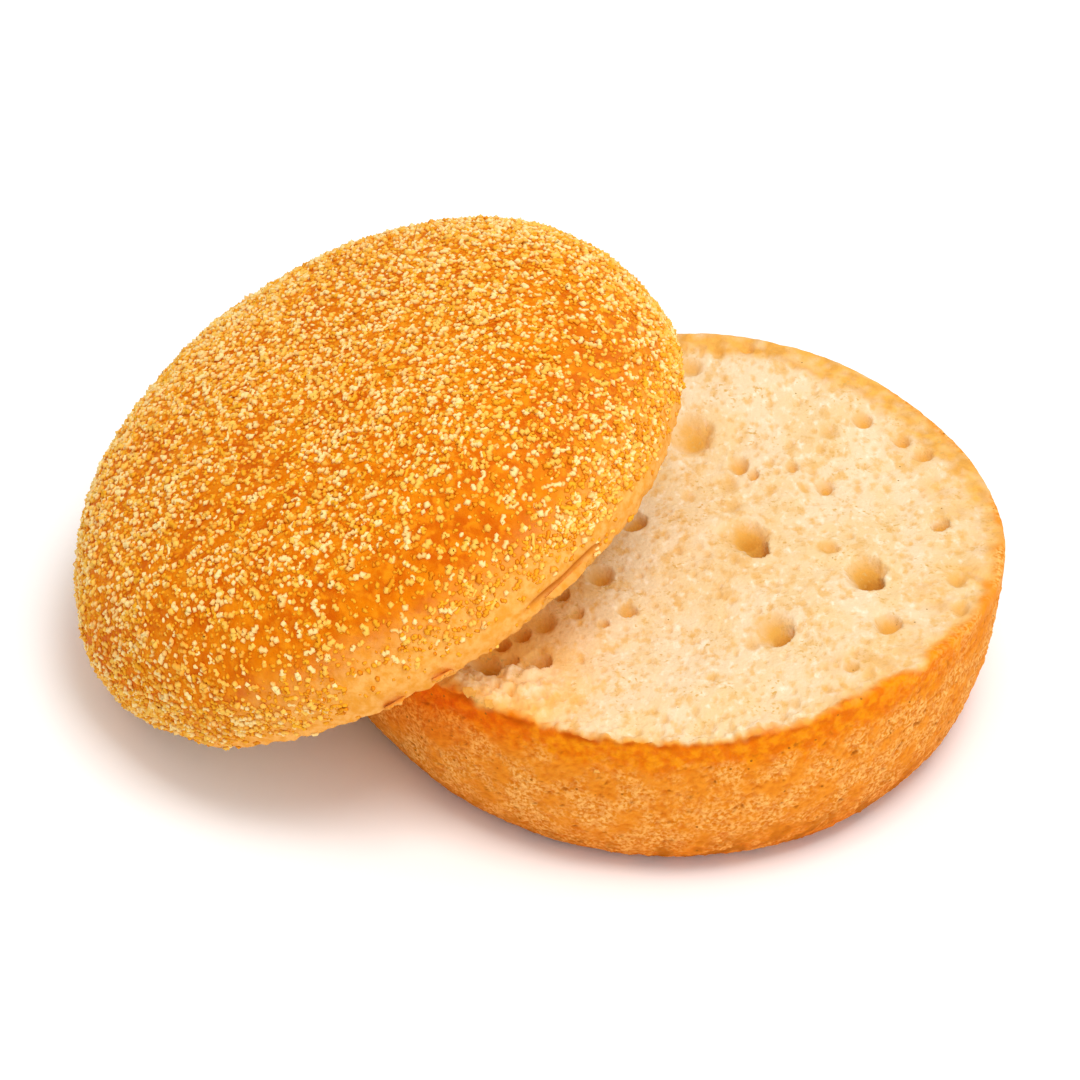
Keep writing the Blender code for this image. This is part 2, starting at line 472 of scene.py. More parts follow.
sculpt_crumb(BASE_CRUMB, BIG_BUBBLES, seed=100)
sculpt_crumb(TOP_CRUMB, scattered(30, (3.0, 6.0), 0.5, 0.6, 300), seed=200)
print("most hollow:", BASE_CRUMB.marks["hollow"].max().round(2))

# %% [markdown]
# ## The side crust
# The base's wall baked against a ring, which left it even but covered with a net of fine creases and
# with small pits where bubbles met the metal. Just under the rim the skin is smooth and moist, with one
# crease where the lip of the crumb turned over it. Each sheet also gets marks, numbers from 0 to 1 at
# every point, which its material reads.

# %% Sculpting the side
STREAK = radians(-65)  # where one streak of moist skin runs down the wall


def net(points, width, seed):
    """1 along thin creases that close into meshes about this many mm wide, 0 between them."""
    return ramp(np.abs(hills(points, width, seed)), 0.24, 0.02)


def skin_band(sheet, seed):
    """How moist the skin is: most just under the rim, in front, and fading down the wall."""
    in_front = facing(sheet, radians(-92), 0.1, 0.8)
    past = sheet.past_rim + dough(sheet.points, ((5, 1.2), (1.6, 1.0), (0.8, 0.5)), seed)
    drawn_down = np.exp(-((np.sin(sheet.angle - STREAK) * 44 / 0.8) ** 2)) * facing(sheet, STREAK)
    return np.maximum(in_front * ramp(past, 7.0, 3.0), drawn_down * ramp(past, 8, 5))


def sculpt_side(sheet, seed):
    """Swells, creases and pits on the wall, and the crease below the lip in front."""
    wall = ramp(sheet.past_rim, 0.5, 3.0) * ramp(sheet.past_rim, 34, 29)
    sheet.push(dough(sheet.points, ((14, 0.35), (5, 0.15)), seed) * wall)
    creases = np.maximum(0.6 * net(sheet.points, 1.6, seed + 5), 0.6 * net(sheet.points, 0.95, seed + 6))
    pits = ramp(dough(sheet.points, ((1.3, 0.5), (0.8, 0.8)), seed + 7), 0.45, 0.85)
    grain = dough(sheet.points, ((0.65, 0.9), (1.2, 0.8)), seed + 8)
    rough = wall * (1 - 0.3 * sheet.marks["skin"])
    sheet.push(rough * (0.06 - 0.16 * creases - 0.13 * pits + 0.17 * grain))
    lip = np.exp(-(((sheet.past_rim + 0.2) / 1.5) ** 2)) * off_rim(sheet, 0.8)
    lip = lip * (0.25 + 0.75 * facing(sheet, FRONT, 0.2, 0.9))
    sheet.push(dough(sheet.points, ((3, 0.35), (1.5, 0.3), (0.7, 0.15)), seed + 20) * lip)
    uneven = ramp(dough(sheet.points, ((5, 0.9), (1.5, 0.6)), seed + 9), -0.6, 0.4)
    line = sheet.past_rim - 1.0 - dough(sheet.points, ((6, 0.5), (1.6, 0.3)), seed + 10)
    fold_in = facing(sheet, FRONT, 0.6, 0.95) * np.exp(-((line / 0.5) ** 2)) * uneven
    sheet.push(-0.32 * fold_in)
    sheet.marks["fold"] = fold_in
    sheet.marks["groove"] = np.clip(rough * (0.5 * creases - 0.5 * grain), 0, 1)
    sheet.marks["pit"] = rough * pits


# %% Marking the side
def ragged(sheet, seed):
    """The unevenness of a line along the rim, in mm."""
    return dough(sheet.points, ((6, 0.9), (2.2, 0.5), (0.9, 0.25)), seed)


def side_marks(sheet, seed):
    """Where crumb turns to crust. Behind and to the right the crust shows on the cut face too."""
    behind = facing(sheet, radians(80), 0.1, 0.8)
    right = facing(sheet, radians(-10), 0.3, 0.9)
    patchy = np.clip(0.6 + 1.3 * hills(sheet.points, 6, seed + 4), 0, 1.4)
    border_line = sheet.past_rim + ragged(sheet, seed) + 1.5 * right * patchy
    sheet.marks["baked"] = ramp(border_line, -0.8, 1.0)
    inner = -3.4 + 2.2 * facing(sheet, FRONT, 0.0, 0.7)
    blush = ramp((border_line + 3.0 * behind - inner) / (0.2 - inner), 0, 1)
    blush = blush * (0.85 + 0.5 * behind * hills(sheet.points, 1.6, seed + 6))
    sheet.marks["blush"] = np.maximum(blush, 0.52 * right * patchy * ramp(border_line, -13, -3))
    sheet.marks["foot"] = ramp(sheet.past_rim + 1.5 * hills(sheet.points, 4, seed + 5), 15, 28)
    sheet.marks["skin"] = skin_band(sheet, seed + 30)


# %% [markdown]
# ## The dome's crust
# The dome rose freely, so it swelled smooth under its semolina. A band along its rim stayed pale,
# and the rim itself is torn: it is jagged, as dry skin is when soft bread is pulled from it.

# %% Sculpting and marking the dome
BARE_SIDE = radians(58)  # the direction, round the top half's axis, in which its rim is barest
TORN_STRIP = radians(51)  # the middle of a strip of skin that came half away along the rim
SLIT = np.array((31.0, -16.0, -22.6))  # a short dark slit, where steam found a way out


def sculpt_dome(sheet, seed):
    """Gentle bumps, the torn rim and the slit."""
    bumps = dough(sheet.points, ((18, 0.5), (7, 0.2), (2, 0.06), (1, 0.04)), seed)
    sheet.push(bumps * off_rim(sheet, 2.0))
    at_rim = np.exp(-((sheet.past_rim / 1.1) ** 2)) * off_rim(sheet, 0.8)
    sheet.push(dough(sheet.points, ((2.6, 0.4), (1.1, 0.3), (0.6, 0.12)), seed + 5) * at_rim)
    middle = 1.7 + 0.4 * hills(sheet.points, 4, seed + 8)
    strip = facing(sheet, TORN_STRIP, cos(radians(11)), cos(radians(5)))
    strip = strip * np.exp(-(((sheet.past_rim - middle) / 0.5) ** 2))
    sheet.push(-0.5 * strip)
    # The groove under the half-torn strip also gets painted shade.
    sheet.marks["strip"] = strip
    away = np.linalg.norm((sheet.points - SLIT) / (1.5, 0.9, 3.0), axis=-1)
    sheet.push(-1.1 * ramp(away, 1.0, 0.3))
    sheet.marks["slit"] = ramp(away, 1.1, 0.5)


def dome_marks(sheet, seed):
    """Where crumb turns to crust, and the pale band along the rim."""
    line = sheet.past_rim + 0.4 * ragged(sheet, seed)
    sheet.marks["blush"] = ramp(line, -3.0, 0.0)
    sheet.marks["baked"] = ramp(line, -1.0, 0.2)
    wide = 4.8 + 5.7 * facing(sheet, BARE_SIDE, 0.2, 0.9)
    past = sheet.past_rim + 1.2 * hills(sheet.points, 6, seed + 3)
    lighter = 0.15 * facing(sheet, radians(-10), 0.4, 0.9) * ramp(past, 26, 10)
    sheet.marks["pale"] = np.maximum(ramp(past, wide + 4, wide - 5), lighter)


for sheet, seed in ((BASE_CRUST, 100), (TOP_CRUST, 200)):
    sway(sheet, seed)
for sheet in (BASE_CRUMB, BASE_CRUST):
    tear(sheet, seed=150)
    fray(sheet, seed=170)
    side_marks(sheet, seed=600)
for sheet in (TOP_CRUMB, TOP_CRUST):
    dome_marks(sheet, seed=700)
sculpt_side(BASE_CRUST, seed=400)
sculpt_dome(TOP_CRUST, seed=500)


# %% [markdown]
# ## How thickly the semolina lies
# Semolina was thrown on the damp dome, where it clumped. It thins out towards the rim, most of all on
# the side where the dough was handled. This is settled here, because the crust between the grains holds
# fine dust of the same semolina, which its material has to know about.

# %% Crowding
def crowding(sheet, seed):
    """How thickly the grains lie at each point, from 0 to 1."""
    bare = facing(sheet, BARE_SIDE, 0.5, 1.0)
    past = sheet.past_rim + 1.2 * hills(sheet.points, 4, seed)
    from_rim = ramp(past, 0.2 + 3.0 * bare, 4.5 + 4.5 * bare)
    worn = 1 - 0.7 * facing(sheet, radians(84), 0.45, 1.0) * ramp(past, 36, 16) * ramp(past, 3, 7)
    clumps = ramp(dough(sheet.points, ((2.2, 1.0), (1.3, 0.3)), seed + 1), -0.9, 0.5)
    drifts = dough(sheet.points, ((14, 1.0), (6, 0.4)), seed + 4)
    drifts = ramp(drifts + 0.4 * facing(sheet, radians(-100), -0.3, 0.8), -0.5, 0.5)
    return (0.02 + from_rim) * worn * (0.5 + 0.5 * clumps) * (0.32 + 0.68 * drifts) * (sheet.past_rim > 0.3)


DENSITY = crowding(TOP_CRUST, 40)
TOP_CRUST.marks["dust"] = np.clip(DENSITY, 0, 1)

# %% [markdown]
# ## From sheet to solid
# Each sheet becomes one closed piece: a short hidden skirt runs in from its outer ring, and a fan of
# triangles closes it. The crumb and the crust of a half share the skirt and the fan, so they meet
# inside without a gap or an overlap, as two parts of one solid. First the ring that they share is put
# in one place.

# %% Joining the rims
def join_rims(one, other):
    """Puts the outer ring that two sheets share halfway between where each has it."""
    loop = border(len(one.points))
    rings = [sheet.points.reshape(-1, 3) for sheet in (one, other)]
    print("rims were at most", np.abs(rings[0][loop] - rings[1][loop]).max().round(3), "mm apart")
    rings[0][loop] = rings[1][loop] = (rings[0][loop] + rings[1][loop]) / 2


join_rims(BASE_CRUMB, BASE_CRUST)
join_rims(TOP_CRUMB, TOP_CRUST)

# %% Making a piece
def add_piece(name, points, faces, seat, marks, material):
    """Makes a smooth piece from points in a half's own frame, in mm. None of it goes below the floor."""
    turn, place = np.array(seat.to_3x3()), np.array(seat.translation)
    points = points @ turn.T * MM + place
    points[:, 2] = np.maximum(points[:, 2], CAD_BOX[0].z)
    mesh = bpy.data.meshes.new(name)
    mesh.from_pydata(points, [], faces)
    mesh.shade_smooth()
    mesh.materials.append(material)
    for mark, values in marks.items():
        mesh.attributes.new(mark, "FLOAT", "POINT").data.foreach_set("value", values.astype(np.float32))
    piece = bpy.data.objects.new(name, mesh)
    bpy.context.scene.collection.objects.link(piece)
    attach(piece, "root")
    print(f"{name}: {sum(face.loop_total - 2 for face in mesh.polygons)} triangles")
    return piece


# %% Closing a sheet
SKIRT = 2.5  # mm in and down from the shared ring
FAN_DEPTH = 11  # mm below the cut face at the axis, deeper than any bubble


def closed_piece(name, sheet, seat, material, cad, slot):
    """A sheet with its skirt and fan, made in place of a CAD node, which it hides. Its outer ring is a
    sharp edge.
    """
    n = len(sheet.points)
    points, loop = sheet.points.reshape(-1, 3), border(n)
    skirt = points[loop].copy()
    skirt[:, :2] *= 1 - SKIRT / np.linalg.norm(skirt[:, :2], axis=1, keepdims=True)
    skirt[:, 2] -= SKIRT
    low = n * n + np.arange(len(loop))
    fan = np.stack([np.roll(low, -1), low, np.full(len(loop), n * n + len(loop))], -1)
    faces = cells_of(n).tolist() + band(loop, low).tolist() + fan.tolist()
    if sheet.crust:
        faces = [face[::-1] for face in faces]
    points = np.concatenate([points, skirt, [(0, 0, -FAN_DEPTH)]])
    marks = {mark: values.ravel() for mark, values in sheet.marks.items()}
    marks = {mark: np.concatenate([values, values[loop], [0]]) for mark, values in marks.items()}
    piece = add_piece(name, points, faces, seat, marks, material)
    mesh, on_loop = piece.data, np.zeros(len(points), bool)
    on_loop[loop] = True
    edges = np.zeros(len(mesh.edges) * 2, int)
    mesh.edges.foreach_get("vertices", edges)
    sharp = mesh.attributes.new("sharp_edge", "BOOLEAN", "EDGE")
    sharp.data.foreach_set("value", on_loop[edges.reshape(-1, 2)].all(1))
    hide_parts(cad)


# %% [markdown]
# ## Where the halves are close
# Where the top half hangs close over the base, the crumb and the wall below it get painted shade,
# darker and warmer, for light blocked by the top half and bounced off its orange dome. The distance to the
# nearest point of the top half gives its place. Torn tufts stand up out of that shade, so they get less of
# it. Torn tufts
# stand up into the air and dried, so they are left out.

# %% Painting shade under the top half
FULL_SHADE_WITHIN, NO_SHADE_BEYOND = 5, 17  # mm from the top half


def paint_shade_under_top(sheet, seat, other):
    """Marks painted shade: 1 where another CAD piece is nearer than FULL_SHADE_WITHIN, 0 beyond
    NO_SHADE_BEYOND.
    """
    corners = [seat.inverted() @ vertex.co / MM for vertex in other.data.vertices]
    tree = BVHTree.FromPolygons(corners, [face.vertices[:] for face in other.data.polygons])
    away = [tree.find_nearest(spot, NO_SHADE_BEYOND)[3] for spot in sheet.points.reshape(-1, 3).tolist()]
    away = np.array([NO_SHADE_BEYOND if gap is None else gap for gap in away])
    moist = ramp(away, NO_SHADE_BEYOND, FULL_SHADE_WITHIN).reshape(sheet.past_rim.shape)
    sheet.marks["moist"] = moist * (1 - 0.7 * sheet.marks["torn"])


for sheet in (BASE_CRUMB, BASE_CRUST):
    paint_shade_under_top(sheet, BASE_SEAT, TOP_CAD)
# How much of the base's crumb gets painted shade under the top half.
print("share of the base's crumb that is moist:", (BASE_CRUMB.marks["moist"] > 0.1).mean().round(2))

# %% [markdown]
# ## Colours and nodes
# Colours are easiest to judge as the hex values of a painting program, but shaders work in linear
# light, so one function turns them. Another adds a node, gives it its settings and its links, and hands
# back the output that the next node needs. A crust is many thin layers of colour, each in its own
# places, so a third lays coats over a colour in turn, and a material then reads as a list of its coats.

# %% Helpers for materials
def linear(code):
    """A hex sRGB colour as linear numbers with alpha."""
    parts = [int(code[at : at + 2], 16) / 255 for at in (1, 3, 5)]
    return (*[part / 12.92 if part <= 0.04045 else ((part + 0.055) / 1.055) ** 2.4 for part in parts], 1.0)


def fill_in(tree, made, inputs):
    """Links the inputs of a node that are given a socket. A hex colour or a number is set on its input."""
    for name, value in dict(inputs).items():
        if isinstance(value, bpy.types.NodeSocket):
            tree.links.new(value, made.inputs[name])
        else:
            made.inputs[name].default_value = linear(value) if isinstance(value, str) else value


def node(tree, kind, inputs=(), out=0, **settings):
    """Adds a shader node with its settings and links, and returns one of its outputs."""
    made = tree.nodes.new("ShaderNode" + kind)
    for name, value in settings.items():
        setattr(made, name, value)
    fill_in(tree, made, inputs)
    return made.outputs[out]


def coats(tree, colour, *rows):
    """Lays coats of colour over a colour in turn. A row is (where, coat), or (where, coat, blend type).

    `where` is a mark's name, a pattern, or a pair to multiply: 0 leaves what is below, 1 covers it.
    A Mix node has its factor at 0, and for colours it has them at 6 and 7 and its result at 2."""
    for where, coat, *blend in rows:
        parts = list(where) if isinstance(where, tuple) else [where]
        for at, part in enumerate(parts):
            if isinstance(part, str):
                parts[at] = node(tree, "Attribute", (), "Fac", attribute_name=part)
        if len(parts) == 2:
            parts[0] = node(tree, "Math", {0: parts[0], 1: parts[1]}, operation="MULTIPLY")
        ways = {"data_type": "RGBA", "blend_type": blend[0] if blend else "MIX"}
        colour = node(tree, "Mix", {0: parts[0], 6: colour, 7: coat}, 2, **ways)
    return colour


def patches(tree, size, low, high, detail=3.0, squeeze=(1, 1, 1)):
    """Soft patches this many mm wide: 0 where the noise is under low, 1 where it is over high.

    Object coordinates are in metres, so a texture's scale is one over its size in metres."""
    place = node(tree, "TexCoord", (), "Object")
    place = node(tree, "VectorMath", {0: place, 1: squeeze}, operation="MULTIPLY")
    grain = {"Vector": place, "Scale": 1 / (size * MM), "Detail": detail}
    noise = node(tree, "TexNoise", grain, "Fac")
    span = {"Value": noise, "From Min": low, "From Max": high}
    return node(tree, "MapRange", span, "Result", interpolation_type="SMOOTHSTEP")


def specks(tree, spacing, width, share):
    """1 on small dots, about this many mm apart and this wide, in only a share of the places."""
    place = node(tree, "TexCoord", (), "Object")
    cells = node(tree, "TexVoronoi", {"Vector": place, "Scale": 1 / (spacing * MM)}, "Distance").node
    edge = 0.5 * width / spacing
    span = {"Value": cells.outputs["Distance"], "From Min": edge, "From Max": edge / 2}
    dot = node(tree, "MapRange", span, "Result", interpolation_type="SMOOTHSTEP")
    chosen = node(tree, "Math", {0: cells.outputs["Color"], 1: share}, operation="LESS_THAN")
    return node(tree, "Math", {0: dot, 1: chosen}, operation="MULTIPLY")


# %% [markdown]
# ## Crumb
# Brioche crumb is a dry foam of flour, egg and butter: creamy, quite matte, in soft patches of cream
# and tan. Light bounces about in its bubbles and grows warmer each time, so their floors look tan and
# the deepest ones a clear brown. A few flecks of bran are dark.

# %% Crumb colour
def crumb_colour(tree):
    hollow = node(tree, "Attribute", (), "Fac", attribute_name="hollow")
    # The hollow mark paints bounce light and shade into bubbles, pores and gaps between torn lumps.
    tan = node(tree, "MapRange", {"Value": hollow, "From Max": 0.5}, "Result")
    deep = node(tree, "MapRange", {"Value": hollow, "From Min": 0.5, "From Max": 1.0}, "Result")
    return coats(
        tree,
        "#ECD2AA",
        (patches(tree, 7, 0.42, 0.62, squeeze=DRAWN), "#EACA96"),
        # Paler flecks: the crumb's own flour, and painted highlights.
        (patches(tree, 1.1, 0.5, 0.8, squeeze=DRAWN), "#FAE7CA"),  # flour
        (patches(tree, 1.7, 0.5, 0.7, 4.0, squeeze=DRAWN), "#E5B978"),  # butter
        # Under the top half: painted shade and warm bounced light, warmer still on the bubbles' floors.
        ("moist", "#FFB545"),
        (tan, coats(tree, "#E0A54C", ("moist", "#F09A28"))),
        (deep, "#BE7818"),
        ("blush", coats(tree, "#F0B052", (patches(tree, 2.0, 0.4, 0.65, 4.0), "#DC9E48"))),
        ((patches(tree, 0.65, 0.54, 0.7), patches(tree, 5, 0.45, 0.65)), "#D6A75C"),  # bran
        (specks(tree, 3.0, 0.35, 0.4), "#96713A"),
    )


# %% [markdown]
# ## Side crust
# The side crust is orange with tan patches, darker orange in its creases and brown in its pits. The
# skin just under the rim stayed moist and is a clear orange, drawn down in streaks, and the foot is
# brown.

# %% Side crust colour
def side_colour(tree):
    return coats(
        tree,
        "#DA8018",
        (patches(tree, 0.5, 0.35, 0.65), "#FCBC66"),
        (patches(tree, 5, 0.4, 0.65), "#EA8E24"),
        (("skin", 0.95), coats(tree, "#F0900A", (patches(tree, 1.6, 0.35, 0.65), "#E06E00"))),
        ("groove", "#CA6200"),
        ("pit", "#A85808"),
        # Painted shade on the wall under the top half.
        ("moist", "#FFD078", "MULTIPLY"),
        ("fold", "#C65600"),
        ("foot", "#F2D6A6", "MULTIPLY"),
        (("foot", patches(tree, 2.5, 0.45, 0.62)), "#AC5E0C"),
        (specks(tree, 1.9, 0.5, 0.5), "#A45F12"),
    )


# %% [markdown]
# ## Dome crust
# The dome was brushed with egg and baked in dry heat: a deep orange gold, with only a faint shine left
# between the grains. It is paler along the rim, where the tin kept it from browning.

# %% Dome crust colour
def dome_colour(tree):
    return coats(
        tree,
        "#E27A00",
        (patches(tree, 5, 0.35, 0.65), "#CE5C00"),
        (patches(tree, 1.6, 0.45, 0.7), "#EC8A0C"),
        ("pale", coats(tree, "#E89A34", (patches(tree, 1.1, 0.3, 0.7), "#F4B25C"))),
        (("dust", patches(tree, 0.7, 0.5, 0.6)), "#E8981C"),
        # Painted shade in the groove under the half-torn strip.
        ("strip", "#C8701A"),
        ("slit", "#8A3F08"),
        (specks(tree, 2.2, 0.3, 0.35), "#B8701A"),
    )


# %% Bread materials
def new_material(name):
    """A new material, its node tree and its shader."""
    material = bpy.data.materials.new(name)
    material.use_nodes = True
    return material, material.node_tree, material.node_tree.nodes["Principled BSDF"]


def bread(name, crust_colour, crust_roughness):
    """Crumb that turns to crust by the baked mark. A fine bump stands for foam too small for the mesh."""
    material, tree, shader = new_material(name)
    baked = node(tree, "Attribute", (), "Fac", attribute_name="baked")
    foam = patches(tree, 0.5, 0.2, 0.8)  # finer foam is left out, as it wouldn't show
    finish = {
        "Base Color": coats(tree, crumb_colour(tree), (baked, crust_colour(tree))),
        "Roughness": node(tree, "MapRange", {"Value": baked, "To Min": 0.9, "To Max": crust_roughness}),
        "IOR": 1.45,
        "Specular IOR Level": 0.04,  # a dry, porous skin hardly shines
        "Normal": node(tree, "Bump", {"Strength": 0.4, "Distance": 0.2 * MM, "Height": foam}),
    }
    fill_in(tree, shader, finish)
    return material


SIDE_BREAD = bread("crumb_and_side_crust", side_colour, 0.7)
DOME_BREAD = bread("crumb_and_dome_crust", dome_colour, 0.55)

# %% The four bread pieces
for row in (
    ("base_crumb", BASE_CRUMB, BASE_SEAT, SIDE_BREAD, "bottom_half", "base_crust"),
    ("base_crust", BASE_CRUST, BASE_SEAT, SIDE_BREAD, "bottom_half", "base_crust"),
    ("top_crumb", TOP_CRUMB, TOP_SEAT, DOME_BREAD, "top_half", "top_crust"),
    ("top_crust", TOP_CRUST, TOP_SEAT, DOME_BREAD, "top_half", "top_crust"),
):
    closed_piece(*row)

# %% [markdown]
# ## Torn skin
# Where the halves parted, a few petals of skin curled up from the dome's rim, and smaller ones stayed
# on the base. A petal is a small square grid, bent round like a wood shaving and narrowed at its free end.
# Two such grids, one just under the other, are closed round their edges, so it has a thickness.

# %% Petals
PETAL_GRID = 9
PETAL_THICKNESS = 0.25  # mm


def unit(vectors):
    """The same directions, one long."""
    return vectors / np.linalg.norm(vectors, axis=-1, keepdims=True)


def petal(sheet, angle, past, toward, length, width, bend):
    """Points and faces of one petal that bends outward from its root on the sheet.

    The root is at this angle and this many mm past the rim. It grows towards the cut face if toward is 1,
    away from it if it is -1."""
    miss = np.abs(sheet.past_rim - past) + 40 * (1 - np.cos(sheet.angle - radians(angle)))
    place = np.unravel_index(miss.argmin(), miss.shape)
    root, outward = sheet.points[place], sheet.normals()[place]
    along = toward * unit(np.cross(Z, outward))
    across, way = np.meshgrid(np.linspace(-1, 1, PETAL_GRID), np.linspace(0, 1, PETAL_GRID), indexing="ij")
    ragged_end = 0.85 + 0.3 * hills(root + (across * width)[..., None] * along, 1.5, 7)
    turn = (way * bend * ragged_end)[..., None]
    narrow = (across * 0.5 * width * np.sqrt(1 - 0.7 * way**2))[..., None]
    reach = length / bend
    face = root + reach * (np.sin(turn) * np.cross(outward, along) + (1 - np.cos(turn)) * outward)
    face = face + narrow * along + (0.12 + 0.2 * hills(face, 1.2, 5)[..., None]) * outward
    back = face - outward * PETAL_THICKNESS
    cells, loop, low = cells_of(PETAL_GRID), border(PETAL_GRID), PETAL_GRID**2
    points = np.concatenate([face.reshape(-1, 3), back.reshape(-1, 3)])
    return points, cells.tolist() + (cells + low)[:, ::-1].tolist() + band(loop, loop + low).tolist()


def petals(name, sheet, seat, rows, marks, material):
    """A piece of joined petals."""
    points, faces = [], []
    for row in rows:
        some, their_faces = petal(sheet, *row)
        faces += [[corner + len(points) * len(some) for corner in face] for face in their_faces]
        points.append(some)
    points = np.concatenate(points)
    marks = {mark: np.full(len(points), value) for mark, value in marks.items()}
    add_piece(name, points, faces, seat, marks, material)


# angle in degrees, mm past the rim, toward, length, width, bend
DOME_PETALS = (
    (78, 0.6, -1, 2.4, 3.2, 1.1),
    (87, 0.5, -1, 2.6, 3.6, 1.1),
    (51, 1.4, 1, 1.4, 8.0, 0.9),
)
BASE_PETALS = (
    (-123.5, -0.6, -1, 1.8, 2.0, 0.8),
    (-119, -0.2, -1, 1.4, 1.6, 0.8),
    (-100, 6.5, 1, 0.9, 0.8, 1.0),
)
DOME_SKIN_MARKS, BASE_SKIN_MARKS = {"baked": 1.0, "pale": 0.8}, {"blush": 1.0}
petals("torn_dome_skin", TOP_CRUST, TOP_SEAT, DOME_PETALS, DOME_SKIN_MARKS, DOME_BREAD)
petals("torn_side_skin", BASE_CRUST, BASE_SEAT, BASE_PETALS, BASE_SKIN_MARKS, SIDE_BREAD)

# %% [markdown]
# ## Semolina
# Semolina is hard wheat, cracked into grains of half a millimetre and more. It was thrown on damp dough,
# where it stuck together in short crooked chains of grains that touch. Under them lie flakes that
# soaked up egg and melted into the crust. A chain is a bent tube, wide at its grains and narrow between
# them, and a flake is a low cone on both sides of a six-sided ring. Arrays make thousands at once,
# joined in one mesh for each kind, which keeps them real geometry.

# %% Where the grains lie
USED_UP = 0.15  # how likely another grain is where one lies already


def on_sheet(values, spots):
    """Values of a sheet's grid at places between its points."""
    low = np.floor(spots).astype(int)
    part = spots - low
    i, j = low[..., 0], low[..., 1]
    a, b = part[..., :1], part[..., 1:]
    near = values[i, j] * (1 - b) + values[i, j + 1] * b
    far = values[i + 1, j] * (1 - b) + values[i + 1, j + 1] * b
    return near * (1 - a) + far * a


def chain_spots(sheet, density, count, rings, random):
    """Grid places of chains of grains. No two start in the same cell, and most cells are used up."""
    n = len(sheet.points)
    cell = [np.linalg.norm(np.gradient(sheet.points, axis=axis), axis=-1).ravel() for axis in (0, 1)]
    odds = density.ravel() * cell[0] * cell[1]
    start = random.choice(n * n, count, replace=False, p=odds / odds.sum())
    density.ravel()[start] *= USED_UP
    spot = np.stack([start // n, start % n], -1) + random.uniform(-0.5, 0.5, (count, 2))
    heading = random.uniform(0, tau, count)
    walk = []
    for _ in range(rings):
        walk.append(np.clip(spot, 0, n - 1.01))
        step = random.uniform(0.28, 0.42, count)
        move = np.stack([np.cos(heading) / cell[0][start], np.sin(heading) / cell[1][start]], -1)
        spot = spot + step[:, None] * move
        heading = heading + random.normal(0, 0.9, count)
    return np.stack(walk, 1)


# %% Making chains and flakes
SIDES = 4  # of a chain's cross-section
FLAKE_WIDTHS = (0.5, 1.2)  # mm
FLAKE_SIDES = 6


def repeated(faces, points_each, count):
    """The faces of one small thing, for many of it in a row."""
    return [[corner + points_each * one for corner in face] for one in range(count) for face in faces]


def chain_faces(rings):
    """The faces of one chain: rings of SIDES points, then a point at each end."""
    ring, onward = np.arange(SIDES), np.roll(np.arange(SIDES), -1)
    first, last = rings * SIDES, rings * SIDES + 1
    end = (rings - 1) * SIDES
    faces = [(first, b, a) for a, b in zip(ring, onward)]
    faces += [(last, end + a, end + b) for a, b in zip(ring, onward)]
    for start in range(0, end, SIDES):
        above = start + SIDES
        faces += [(start + a, start + b, above + b, above + a) for a, b in zip(ring, onward)]
    return faces


def chains(sheet, spots, widths, random):
    """Points, faces and tones of chains of grains that lie on a sheet. Their sides get painted shade and
    amber light.
    """
    count, rings = spots.shape[:2]
    out = unit(on_sheet(sheet.normals(), spots))
    neck = np.where(np.arange(rings) % 2, 0.72, 1.2)[None, :, None]
    wide = random.uniform(*widths, (count, 1, 1)) * neck * random.uniform(0.8, 1.25, (count, rings, 1)) / 2
    spine = on_sheet(sheet.points, spots) + out * wide * random.uniform(-0.3, 0.4, (count, 1, 1))
    along = unit(np.gradient(spine, axis=1))
    side = unit(np.cross(out, along))
    turn = (np.arange(SIDES) / SIDES * tau)[:, None]
    rough = random.uniform(0.8, 1.2, (count, rings, SIDES, 1))
    ring = np.cos(turn) * side[:, :, None] + 0.8 * np.sin(turn) * out[:, :, None]
    ring = spine[:, :, None] + ring * wide[:, :, None] * rough
    ends = spine[:, [0, -1]] + along[:, [0, -1]] * wide[:, [0, -1]] * np.array([[[-0.8], [0.8]]])
    points = np.concatenate([ring.reshape(count, -1, 3), ends], axis=1)
    # Lower on the ring, deeper in tone: painted shade, and amber light from the crust below.
    low = np.tile(0.5 - 0.5 * np.sin(turn.ravel()), rings)
    tone = np.concatenate([low, [0.5, 0.5]]) + random.normal(0, 0.28, (count, 1))
    return points, repeated(chain_faces(rings), points.shape[1], count), tone


